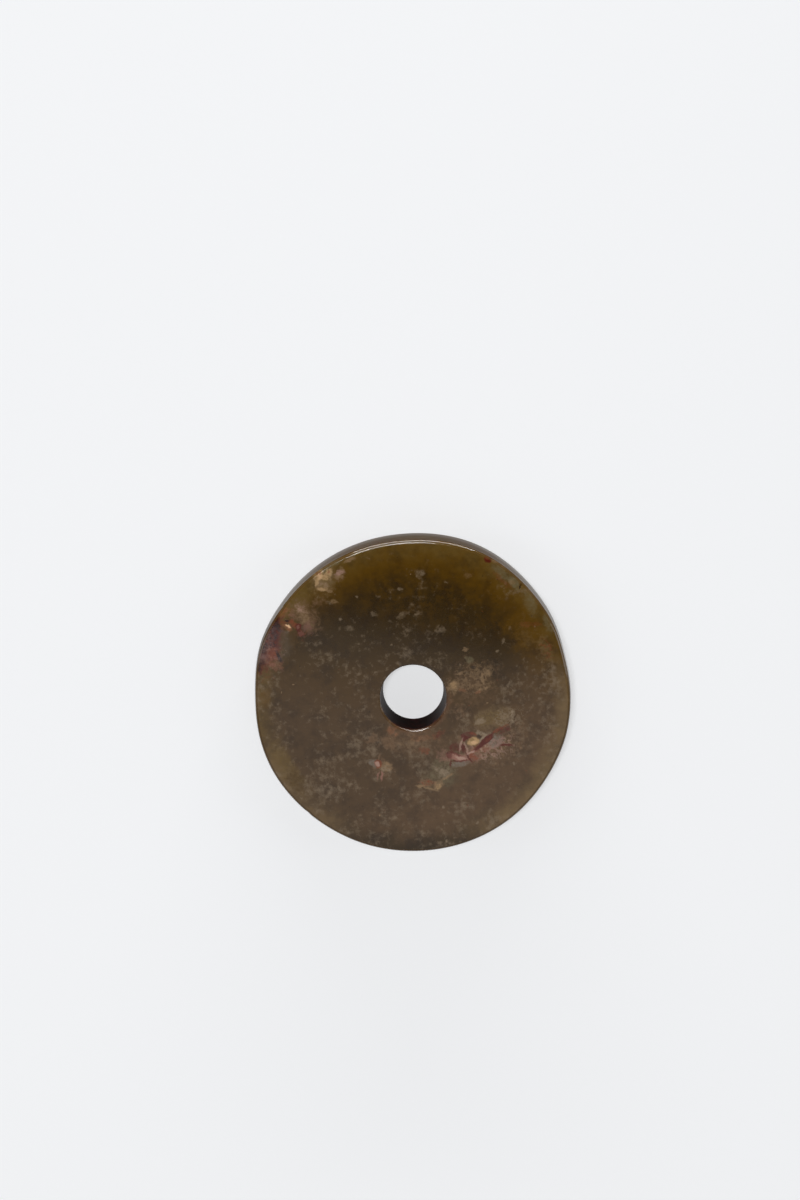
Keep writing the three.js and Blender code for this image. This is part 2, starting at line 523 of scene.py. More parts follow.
PALE_CLOUD = Inclusion(
    "pale_cloud",
    (8.5, -26),
    (
        Smudge(Tint.SAGE, (0.2, 1.8), (5.4, 4.2), turn=45, strength=0.5, edge=0.9, broken=1.8),
        Veins(Tint.FROST, (0.4, 1.6), (4, 3), turn=45, strength=0.4),
        Marking(Tint.FROST, (-0.4, 2.2), (2.9, 0.45), turn=-45, strength=0.55, edge=0.9, broken=1.2),
        Marking(Tint.FROST, (-1.3, 3.3), (2.3, 0.35), turn=-30, strength=0.4, edge=0.9, broken=1.2),
        Marking(Tint.FROST, (1.7, 1.5), (1.8, 0.8), turn=-45, strength=0.9, broken=1.6),
        Marking(Tint.SAND, (2.5, 0.4), (2, 0.4), turn=30, strength=0.9, broken=1.0),
        Marking(Tint.SAND, (-0.4, -2.2), (1.7, 1.3), turn=60, strength=0.8, edge=0.7, broken=2),
        Veins(Tint.CREAM, (-0.4, -2.4), (1.6, 1.3), turn=60, strength=0.4, edge=0.4),
        Marking(Tint.SAND, (-6.1, -2.5), (1.6, 0.32), strength=0.85, broken=0.8),
        Marking(Tint.RUST, (-4.1, -1.7), (2.5, 1), strength=0.4, edge=0.9, broken=2),
        Veins(Tint.RUSSET, (-4.1, -1.6), (2.4, 0.9), strength=0.75, edge=0.4, broken=1.2),
        Marking(Tint.SAND, (-2.8, -3.6), (2.5, 0.3), turn=-15, strength=0.7, broken=0.8),
    ),
)

BORE_STAIN = Inclusion(
    "bore_stain",
    (0.5, -14),
    (
        Marking(Tint.TAN, (0, 0), (9, 4), strength=0.5, edge=0.9, broken=2.4),
        Marking(Tint.SAND, (-1, -0.5), (9, 4), strength=0.4, edge=0.8, broken=4.5, fill=0.1),
        Marking(Tint.RUST, (-7, 3), (2.2, 1.9), turn=-30, strength=0.6, edge=0.8, broken=3, fill=0.6),
        Marking(Tint.TAN, (-8, -0.5), (2.6, 1.8), turn=-15, strength=0.8, edge=0.8, broken=2),
        Marking(Tint.TAN, (-13, 0.5), (1.8, 1.3), turn=30, strength=0.7, edge=0.8, broken=2.4),
        Marking(Tint.RUST, (2, 0.8), (4.6, 1.4), strength=0.4, edge=0.9, broken=3, fill=0.6),
        Veins(Tint.RUSSET, (3.2, -3.2), (2.4, 1.4), strength=0.6),
        Marking(Tint.RUSSET, (7.6, 2.2), (2.6, 1.5), turn=30, strength=0.5, edge=0.8, broken=3, fill=0.6),
        Veins(Tint.OXBLOOD, (7.4, 2), (2.4, 1.2), turn=30, strength=0.6, fill=0.2),
    ),
)

TAN_NET = Inclusion(
    "tan_net",
    (16, 4),
    (
        Marking(Tint.TAN, (3, 0.5), (9, 8), strength=0.4, edge=1.0, broken=3, fill=0.7),
        Veins(Tint.SAND, (3.5, 2), (8.5, 7), turn=15, strength=0.45, broken=1.4, fill=0.15),
        Marking(Tint.SAND, (-3.2, -0.8), (1.9, 2), strength=0.8, edge=0.7, broken=2.2),
        Marking(Tint.CREAM, (-3.4, -0.4), (1, 1), strength=0.4, edge=0.7, broken=2.2),
        Marking(Tint.SAND, (-1, 3.6), (1.6, 0.4), turn=15, strength=0.6, broken=1.6),
        Marking(Tint.SAND, (7.2, 3.7), (1.2, 1.2), strength=0.8, edge=0.7, broken=2.2),
        Marking(Tint.SAND, (5.7, 2.2), (0.5, 2), turn=15, strength=0.75, broken=1.8),
        Marking(Tint.SAND, (6.2, -1.2), (1.8, 0.5), turn=15, strength=0.75, broken=1.8),
        Marking(Tint.SAGE, (1.5, 7.8), (1.2, 1), strength=0.6, broken=1.8),
        Marking(Tint.SAND, (0.2, 11), (0.7, 0.7), strength=0.6, broken=1.8),
        Marking(Tint.SOOT, (3, 5.3), (0.9, 0.7), strength=0.6, broken=1.2),
        Marking(Tint.RUST, (-0.6, -1.8), (1.2, 0.5), strength=0.6, broken=1.6),
        Marking(Tint.RUST, (4.4, -2.5), (1, 0.5), turn=30, strength=0.5, broken=1.6),
        Marking(Tint.TAN, (-1.5, -8.5), (4, 3.4), strength=0.7, edge=0.9, broken=4.0, fill=0.4),
    ),
)

OLIVE_PATCH = Inclusion(
    "olive_patch",
    (26, -7.5),
    (
        Smudge(Tint.HONEY, (-1, 0.6), (6, 2.8), turn=15, strength=0.75, edge=0.9, broken=1.8),
        Marking(Tint.MOSS, (-2, 0.8), (3.6, 1.6), turn=15, strength=0.45, edge=0.9, broken=2),
        Marking(Tint.FROST, (-5.1, -0.4), (1.8, 0.9), turn=15, strength=0.75, broken=2.4),
        Marking(Tint.FROST, (5.3, 1.4), (0.6, 1.6), strength=0.8, broken=1.8),
        Veins(Tint.FROST, (4, 0.4), (5.5, 4), turn=15, strength=0.5, broken=1.4),
    ),
)

BEVEL_SPOT = Inclusion(
    "bevel_spot",
    (24, 43.5),
    (
        Marking(Tint.OXBLOOD, (-0.4, 0.4), (1.2, 1.1), strength=0.97, broken=0.6),
        Marking(Tint.RUSSET, (-0.7, 0.7), (0.6, 0.5), strength=0.7, broken=0.6),
        Marking(Tint.SAND, (1.5, -0.4), (0.9, 0.45), turn=-30, strength=0.9, broken=0.6),
        Marking(Tint.SAND, (3.6, -2.2), (0.6, 0.35), turn=-30, strength=0.6, broken=0.6),
    ),
    depth=2,
)

AMBER_STREAKS = Inclusion(
    "amber_streaks",
    (34, 24),
    (
        Marking(Tint.SAGE, (-6.4, 15.4), (3.8, 1.3), turn=-45, strength=0.6, edge=1.0, broken=2.2),
        Marking(Tint.SAGE, (-2.6, 12.4), (2.6, 1.5), turn=-45, strength=0.7, edge=0.9, broken=1.8),
        Marking(Tint.SAND, (-3.2, 12.4), (1, 0.7), strength=0.6, edge=1.0),
        Marking(Tint.RUSSET, (-6, 12.8), (3.6, 0.8), turn=-45, strength=0.3, edge=0.9, broken=2.2),
        Marking(Tint.SAGE, (2.6, 6), (1.7, 3.6), turn=15, strength=0.55, edge=1.0, broken=2),
        Marking(Tint.SAGE, (8.4, -0.4), (1.3, 3), turn=15, strength=0.5, edge=1.0, broken=2),
        Marking(Tint.OLIVE, (-1.5, 1.8), (6.5, 2), turn=-60, strength=0.6, edge=1.0, broken=2.4),
        Marking(Tint.HONEY, (1.4, -4.6), (3.4, 6), turn=15, strength=0.45, edge=0.9, broken=3.4, fill=0.5),
        Smudge(Tint.AMBER, (0, -2), (5, 7), turn=15, strength=0.6, edge=0.9, broken=2.4),
        Marking(Tint.RUSSET, (2.5, -0.8), (3, 0.8), strength=0.35, edge=0.9, broken=2.4),
        Marking(Tint.HONEY, (7.4, -9), (2.6, 5), turn=15, strength=0.5, edge=0.9, broken=3, fill=0.7),
        Veins(Tint.RUSSET, (8, -9), (3, 5.4), turn=15, strength=0.45, edge=0.4, broken=1.4, fill=0.1),
        Marking(Tint.SOOT, (-0.4, 11.4), (0.25, 0.9), turn=-15, strength=0.85, broken=0.5),
    ),
)

LEFT_EDGE = Inclusion(
    "left_edge",
    (-40, -20),
    (
        Marking(Tint.AMBER, (-6, 19.5), (1.6, 2.6), strength=0.7, broken=1.6),
        Smudge(Tint.MOSS, (0, -2), (2.6, 8), turn=30, strength=0.7, edge=0.9),
        Marking(Tint.OLIVE, (3.6, -7.6), (2.4, 4.4), turn=45, strength=0.75, edge=0.9, broken=3.4),
    ),
)

FROST_SPOTS = Inclusion(
    "frost_spots",
    (0, 30),
    (
        Marking(Tint.FROST, (2.2, 9.2), (1.7, 1.6), strength=0.46, edge=0.9, broken=3, fill=0.7),
        Marking(Tint.FROST, (-4, 4.4), (1, 0.5), strength=0.5, broken=2.8, fill=0.8),
        Marking(Tint.FROST, (-10.7, 1.8), (0.7, 0.5), strength=0.37, broken=2.8, fill=0.8),
        Marking(Tint.FROST, (10.3, 6.4), (0.9, 0.5), turn=-30, strength=0.46, broken=2.8, fill=0.8),
        Marking(Tint.FROST, (-3.6, -4.1), (1.5, 1.1), turn=30, strength=0.4, edge=0.9, broken=2.6, fill=0.8),
        Marking(Tint.FROST, (1.6, -3.2), (0.8, 0.7), strength=0.4, broken=2.8, fill=0.8),
        Marking(Tint.FROST, (-12.1, -3.6), (1, 0.9), strength=0.37, broken=3, fill=0.8),
        Marking(Tint.FROST, (-19.7, -8.2), (1.4, 1.2), strength=0.37, edge=0.9, broken=2.6, fill=0.8),
        Marking(Tint.FROST, (8.8, -8.8), (1.5, 1.3), strength=0.4, edge=0.9, broken=3, fill=0.8),
        Marking(Tint.FROST, (30.4, -8.1), (0.5, 0.9), strength=0.46, broken=2.8, fill=0.8),
        Marking(Tint.FROST, (28.1, -12.5), (0.32, 1.1), turn=-30, strength=0.43, broken=2.8, fill=0.8),
        Marking(Tint.SAND, (17, 8.4), (1.2, 0.9), turn=-45, strength=0.31, edge=0.9, broken=2.6),
    ),
)

INCLUSIONS = (
    FROST_SPOTS,
    TAN_NET,
    LEFT_EDGE,
    AMBER_STREAKS,
    OLIVE_PATCH,
    BORE_STAIN,
    PALE_CLOUD,
    PINK_CREAM,
    PINK_TAN_CLOUD,
    CREAM_BY_EDGE,
    RUSSET_RIM,
    RED_STREAK,
    BEVEL_SPOT,
)


@dataclass(frozen=True)
class Stretch:
    """A stretch of the painted glow along the disc's edge.

    heading is its direction from the middle, anticlockwise from the right, and spread its half width, in
    degrees.
    """

    tint: Tint
    heading: float
    spread: float
    strength: float = 0.9


# tints of the painted edge glow, stretch by stretch; the umber one darkens the bottom edge
EDGE_GLOW_STRETCHES = (
    Stretch(Tint.MOSS, 90, 75),
    Stretch(Tint.MOSS, 175, 40, 0.7),
    Stretch(Tint.HONEY, 330, 40),
    Stretch(Tint.HONEY, 222, 24, 0.6),
    Stretch(Tint.UMBER, 270, 26, 0.9),
)


@dataclass(frozen=True)
class Scatter:
    """Round specks scattered at random through the stone.

    spacing is the distance between the places that may hold one and size a speck's radius, in millimetres.
    empty is the share of the places that stay empty.
    """

    tint: Tint
    spacing: float
    size: float
    empty: float
    strength: float


SCATTERS = (
    Scatter(Tint.SAND, 3.4, 0.34, 0.8, 0.8),
    Scatter(Tint.FROST, 5.5, 0.6, 0.7, 0.5),
    Scatter(Tint.SOOT, 2.2, 0.3, 0.75, 0.5),
    Scatter(Tint.RUSSET, 4.5, 0.35, 0.8, 0.45),
)


class StonePainter:
    """Builds the stone's colour layer by layer, from its ground to its smallest specks.

    Each layer's nodes are added in the order in which they are worked out, which keeps few of them open at
    a time. Lengths and heights are in millimetres.
    """

    # What the layers share.
    flat: Triple = (1, 1, 0)
    upright: Triple = (0, 0, 1)
    drift = Wander(5, 17, 4)
    warps = (Wander(0.9, 3.2, 3), Wander(0.4, 0.9, 4))
    fine_grain = Cloud(1.3, 5, 0.62)
    coarse_grain = Cloud(4.2, 6, 0.6)
    vein_grain = Cloud(2.2, 4, 0.6)
    vein_sharpness = 6
    grit_grain = Cloud(0.9, 5, 0.7)
    grit = Fade(0.38, 0.6, 1, 0.45)
    gritty = 1.0  # a marking broken at least this far is gritty inside too
    middling = 0.5  # what the grains are about, on average

    # The ground.
    rising: Triple = (0.15, 1, 0)
    dark_upper = Fade(-4, 22, 0.85)
    grey_lower = Fade(14, -16, 0.95)
    sideways: Triple = (0.72, -0.7, 0)
    pale_side = Fade(6, 34, 0.34)

    # The painted glow along the edge, where light would come through the stone.
    edge_wander = 9
    amber_starts = 18
    amber_full = 4
    amber_strength = 0.85
    amber_way: Triple = (0.26, 0.96, 0)
    amber_spread = Fade(0.1, 0.7)
    edge_glow_starts = 9
    stretch_ends = 1.25
    stretch_full = 0.6

    # The rim: painted shade on the worn slope, and a painted reflection with painted shade on its wall.
    rim_band: Pair = (2.0, 1.4)
    slope_shade = Fade(FRONT - 0.02, FRONT - 0.1, 0.7)
    wall_shade = Fade(FRONT - 0.6, FRONT - 1.1, 0.8)

    # The lip of the bore.
    lip_way: Triple = (0.5, -0.87, 0)
    lip_spread = Fade(0.1, 0.6)
    lip_wander = 3.2
    lip_rings = ((Tint.RUST, 2.4, 0.25), (Tint.PITCH, 0.9, 0.6))

    # The mottle and the frost.
    mottle_rising: Triple = (0.2, 1, 0)
    dark_cloud = Cloud(5.5, 7, 0.62)
    dark_mottle = Fade(0.6, 0.3, 0.4)
    gold_cloud = Cloud(2.6, 6, 0.66)
    gold_mottle = Fade(0.42, 0.66)
    gold_height = Fade(16, 36, 0.4)
    crowd_cloud = Cloud(9, 3, 0.5)
    crowding = 0.6
    frost_cloud = Cloud(1.8, 7, 0.68)
    frost_thins = Fade(4, 34, 0.09)
    frost_fade = Fade(0.78, 1.12, 0.62)

    speck_middle = 0.35  # the share of a speck's radius within which it is at full strength

    def __init__(self, bench: NodeBench, rim: float) -> None:
        """Prepares the waverings and grains that the layers share.

        Args:
            bench: where the nodes are added.
            rim: the disc's radius.
        """
        self.bench = bench
        self.rim = rim
        self.at = bench.place()
        self.drifting = bench.stray(self.at, *self.drift)
        self.ragged = self.at
        for warp in self.warps:
            self.ragged = bench.stray(self.ragged, *warp)
        turns = {mark.turn for inclusion in INCLUSIONS for mark in inclusion.markings}
        assert all(turn % TURN_STEP == 0 for turn in turns)
        self.turned = {turn: bench.turned(self.ragged, turn) for turn in sorted(turns)}
        self.grains = {
            Grain.FINE: self.cloud(self.fine_grain),
            Grain.COARSE: self.cloud(self.coarse_grain),
            Grain.VEINED: self.veins(),
        }
        self.inner_grit = bench.ramp(self.cloud(self.grit_grain), *self.grit)
        self.colour: Socket | Colour = Tint.OLIVE.colour

    def cloud(self, cloud: Cloud) -> Socket:
        """Returns a cloudy noise's value over the stone."""
        return self.bench.noise(self.at, *cloud).outputs["Fac"]

    def veins(self) -> Socket:
        """Returns a network of fine lines, 1 along the middle of each and falling away from it."""
        off = self.bench.math("SUBTRACT", self.cloud(self.vein_grain), self.middling)
        return self.bench.math("MULTIPLY_ADD", self.bench.math("ABSOLUTE", off), -self.vein_sharpness, 1)

    def out(self) -> Socket:
        """Returns how far from the disc's axis the surface is."""
        return self.bench.vector("LENGTH", self.bench.vector("MULTIPLY", self.at, self.flat))

    def height(self) -> Socket:
        """Returns how far above the back face the surface is."""
        return self.bench.vector("DOT_PRODUCT", self.at, self.upright)

    def lay(self, tint: Tint, amount: Socket, label: str) -> None:
        """Lays a tint over what is there."""
        self.colour = self.bench.lay(self.colour, tint.colour, amount, label)

    def include(self, inclusion: Inclusion) -> None:
        """Lays an inclusion's markings one over another.

        Args:
            inclusion: what to lay.
        """
        bench = self.bench
        for mark in inclusion.markings:
            middle = Vector((inclusion.at[0] + mark.at[0], inclusion.at[1] + mark.at[1], FRONT))
            middle.rotate(Matrix.Rotation(-math.radians(mark.turn), 3, "Z"))
            size = (*mark.size, inclusion.depth)
            share = tuple(1 / width for width in size)
            offset = tuple(-place / width for place, width in zip(middle, size))
            out = bench.vector("LENGTH", bench.vector("MULTIPLY_ADD", self.turned[mark.turn], share, offset))
            away = bench.math("MULTIPLY_ADD", self.grains[mark.grain], -mark.broken, out)
            line = mark.fill - mark.broken * self.middling
            amount = bench.ramp(away, line + mark.edge / 2, line - mark.edge / 2, mark.strength)
            if mark.broken >= self.gritty:
                amount = bench.math("MULTIPLY", amount, self.inner_grit)
            self.lay(mark.tint, amount, inclusion.name)

    def lay_ground(self) -> None:
        """Lays the broad change from the dark golden upper part to the greyer lower part."""
        bench = self.bench
        height = bench.vector("DOT_PRODUCT", self.drifting, self.rising)
        self.lay(Tint.UMBER, bench.ramp(height, *self.dark_upper), "upper ground")
        self.lay(Tint.BARK, bench.ramp(height, *self.grey_lower), "lower ground")
        side = bench.vector("DOT_PRODUCT", self.drifting, self.sideways)
        self.lay(Tint.TAN, bench.ramp(side, *self.pale_side), "paler side")

    def paint_edge_glow(self) -> None:
        """Paints the glow of light coming through the thin edge as colour, deeper along the top than
        elsewhere, and darker at the bottom.
        """
        bench = self.bench
        # the amber is a painted glow, strongest near the rim along the top
        heading = bench.vector("NORMALIZE", bench.vector("MULTIPLY", self.drifting, self.flat))
        reach = bench.math("MULTIPLY_ADD", self.grains[Grain.COARSE], self.edge_wander, self.out())
        rim = self.rim + self.edge_wander * self.middling
        deep = bench.ramp(reach, rim - self.amber_starts, rim - self.amber_full, self.amber_strength)
        top = bench.ramp(bench.vector("DOT_PRODUCT", heading, self.amber_way), *self.amber_spread)
        self.lay(Tint.AMBER, bench.math("MULTIPLY", deep, top), "amber")
        # shine is where the painted glow lies near the rim, and the stretches tint it
        shine = bench.ramp(reach, rim - self.edge_glow_starts, rim)
        for stretch in EDGE_GLOW_STRETCHES:
            way = math.radians(stretch.heading)
            along = bench.vector("DOT_PRODUCT", heading, (math.cos(way), math.sin(way), 0))
            shares = (self.stretch_ends, self.stretch_full)
            end, full = (math.cos(math.radians(stretch.spread * share)) for share in shares)
            amount = bench.math("MULTIPLY", shine, bench.ramp(along, end, full, stretch.strength))
            self.lay(stretch.tint, amount, "lit edge")

    def paint_rim_shade_and_reflection(self) -> None:
        """Paints shade on the worn slope and the rim's wall, where no light comes through the stone, with a
        greyish painted reflection on the wall.
        """
        bench = self.bench
        out = self.out()
        height = self.height()
        edge = bench.ramp(out, *(self.rim - inset for inset in self.rim_band))
        slope = bench.math("MULTIPLY", edge, bench.ramp(height, *self.slope_shade))
        # painted shade on the slope
        self.lay(Tint.OLIVE, slope, "painted slope shade")
        wall = bench.math("MULTIPLY", edge, bench.ramp(height, *self.wall_shade))
        # painted reflection and shade on the rim's wall
        self.lay(Tint.TAUPE, wall, "painted wall reflection")

    def stain_lip(self, middle: Pair, radius: float) -> None:
        """Stains the lip of the bore along its lower and right side.

        Args:
            middle: the bore's middle on the front face.
            radius: the radius of its mouth.
        """
        bench = self.bench
        away = bench.vector("SUBTRACT", bench.vector("MULTIPLY", self.at, self.flat), (*middle, 0))
        turned_to = bench.vector("DOT_PRODUCT", bench.vector("NORMALIZE", away), self.lip_way)
        side = bench.ramp(turned_to, *self.lip_spread)
        grain = self.grains[Grain.FINE]
        out = bench.math("MULTIPLY_ADD", grain, -self.lip_wander, bench.vector("LENGTH", away))
        lip = radius - self.lip_wander * self.middling
        for tint, width, strength in self.lip_rings:
            ring = bench.ramp(out, lip + width, lip, strength)
            self.lay(tint, bench.math("MULTIPLY", ring, side), "lip stain")

    def frost(self) -> None:
        """Lays pale frosty flecks, thicker in some places, over a dark and a golden mottle."""
        bench = self.bench
        self.lay(Tint.SOOT, bench.ramp(self.cloud(self.dark_cloud), *self.dark_mottle), "dark mottle")
        gold = self.cloud(self.gold_cloud)
        height = bench.vector("DOT_PRODUCT", self.drifting, self.mottle_rising)
        warm = bench.ramp(height, *self.gold_height)
        golden = bench.math("MULTIPLY", bench.ramp(gold, *self.gold_mottle), warm)
        self.lay(Tint.AMBER, golden, "golden mottle")
        crowd = self.cloud(self.crowd_cloud)
        fine = self.cloud(self.frost_cloud)
        total = bench.math("MULTIPLY_ADD", crowd, self.crowding, fine)
        total = bench.math("SUBTRACT", total, bench.ramp(height, *self.frost_thins))
        self.lay(Tint.FROST, bench.ramp(total, *self.frost_fade), "frost")

    def speckle(self) -> None:
        """Scatters the smallest specks, pale and dark."""
        bench = self.bench
        for scatter in SCATTERS:
            cells = bench.add("ShaderNodeTexVoronoi")
            bench.join(self.ragged, cells.inputs["Vector"])
            cells.inputs["Scale"].default_value = 1 / scatter.spacing
            size = scatter.size / scatter.spacing
            near = bench.ramp(cells.outputs["Distance"], size, self.speck_middle * size, scatter.strength)
            chance = bench.vector("DOT_PRODUCT", cells.outputs["Color"], (1, 0, 0))
            picked = bench.math("GREATER_THAN", chance, scatter.empty)
            self.lay(scatter.tint, bench.math("MULTIPLY", near, picked), "specks")


@dataclass(frozen=True)
class JadeFinish:
    """Polished nephrite, satin on its rim and duller where it is weathered.

    The satin starts where the surface is wall_outside from the axis and wall_below above the back, in
    millimetres.
    """

    rim_radius: float = 50.0
    bore_middle: Pair = (0.15, -0.2)
    bore_radius: float = 10.4
    polish: float = 0.1
    satin: float = 0.2
    wall_outside: Fade = Fade(49.0, 49.6)
    wall_below: Fade = Fade(12.9, 12.2)
    refraction: float = 1.61
    relief: Cloud = Cloud(0.9, 3, 0.55)
    relief_depth: float = 0.01
    relief_strength: float = 0.25

    def roughness(self, painter: StonePainter) -> Socket:
        """Returns how dull the surface is at each point.

        Args:
            painter: what built the colour.

        Returns:
            The roughness.
        """
        bench = painter.bench
        out = painter.out()
        height = painter.height()
        outside = bench.ramp(out, *self.wall_outside)
        wall = bench.math("MULTIPLY", outside, bench.ramp(height, *self.wall_below))
        rough = bench.math("MULTIPLY_ADD", wall, self.satin, self.polish)
        for inclusion in INCLUSIONS:
            if inclusion.dull:
                away = bench.vector("DISTANCE", painter.ragged, (*inclusion.at, FRONT))
                patch = bench.ramp(away, inclusion.reach, inclusion.reach / 2, inclusion.dull)
                rough = bench.math("MULTIPLY_ADD", patch, painter.grains[Grain.FINE], rough)
        return rough

    def direction(self, painter: StonePainter) -> Socket:
        """Returns the surface's direction, with the faint unevenness that polishing leaves.

        Args:
            painter: what built the colour.

        Returns:
            The direction.
        """
        bench = painter.bench
        uneven = painter.cloud(self.relief)
        bump = bench.add("ShaderNodeBump")
        bump.inputs["Strength"].default_value = self.relief_strength
        bump.inputs["Distance"].default_value = self.relief_depth * MM
        bench.join(uneven, bump.inputs["Height"])
        return bump.outputs["Normal"]

    def make(self) -> bpy.types.Material:
        """Builds the material and returns it."""
        bench = NodeBench("polished_nephrite")
        painter = StonePainter(bench, self.rim_radius)
        painter.lay_ground()
        painter.paint_edge_glow()
        painter.frost()
        painter.stain_lip(self.bore_middle, self.bore_radius)
        for inclusion in INCLUSIONS:
            painter.include(inclusion)
        painter.speckle()
        painter.paint_rim_shade_and_reflection()
        bench.join(painter.colour, bench.shader.inputs["Base Color"])
        bench.join(self.refraction, bench.shader.inputs["IOR"])
        bench.join(self.roughness(painter), bench.shader.inputs["Roughness"])
        bench.join(self.direction(painter), bench.shader.inputs["Normal"])
        return bench.material


@dataclass(frozen=True)
class BoreFinish:
    """The drilled bore: dull, stained, and dark from a near-black base colour that is painted shade."""

    # near-black base colour: painted shade inside the bore; the oxblood clouds are stain
    wall: Tint = Tint.PITCH
    worn: Tint = Tint.OXBLOOD
    stain: Cloud = Cloud(3, 4, 0.6)
    stained: Fade = Fade(0.45, 0.75, 0.6)
    dullness: float = 0.5
    shine: float = 0.06

    def make(self) -> bpy.types.Material:
        """Builds the material and returns it."""
        bench = NodeBench("drilled_bore")
        stain = bench.noise(bench.place(), *self.stain).outputs["Fac"]
        colour = bench.lay(self.wall.colour, self.worn.colour, bench.ramp(stain, *self.stained))
        bench.join(colour, bench.shader.inputs["Base Color"])
        bench.join(self.dullness, bench.shader.inputs["Roughness"])
        bench.join(self.shine, bench.shader.inputs["Specular IOR Level"])
        return bench.material


@dataclass(frozen=True)
class Swell:
    """A stretch of the rim that hand grinding left fuller or flatter than a true circle.

    at and spread are its direction and half width in degrees, and rise is in millimetres.
    """

    at: float
    spread: float
    rise: float


@dataclass(frozen=True)
class Dent:
    """A small pit or nick pressed into the surface.

    at is its place, depth how far it goes in, along push, and reach how wide it is.
    """

    name: str
    at: Triple
    push: Triple
    depth: float
    reach: float


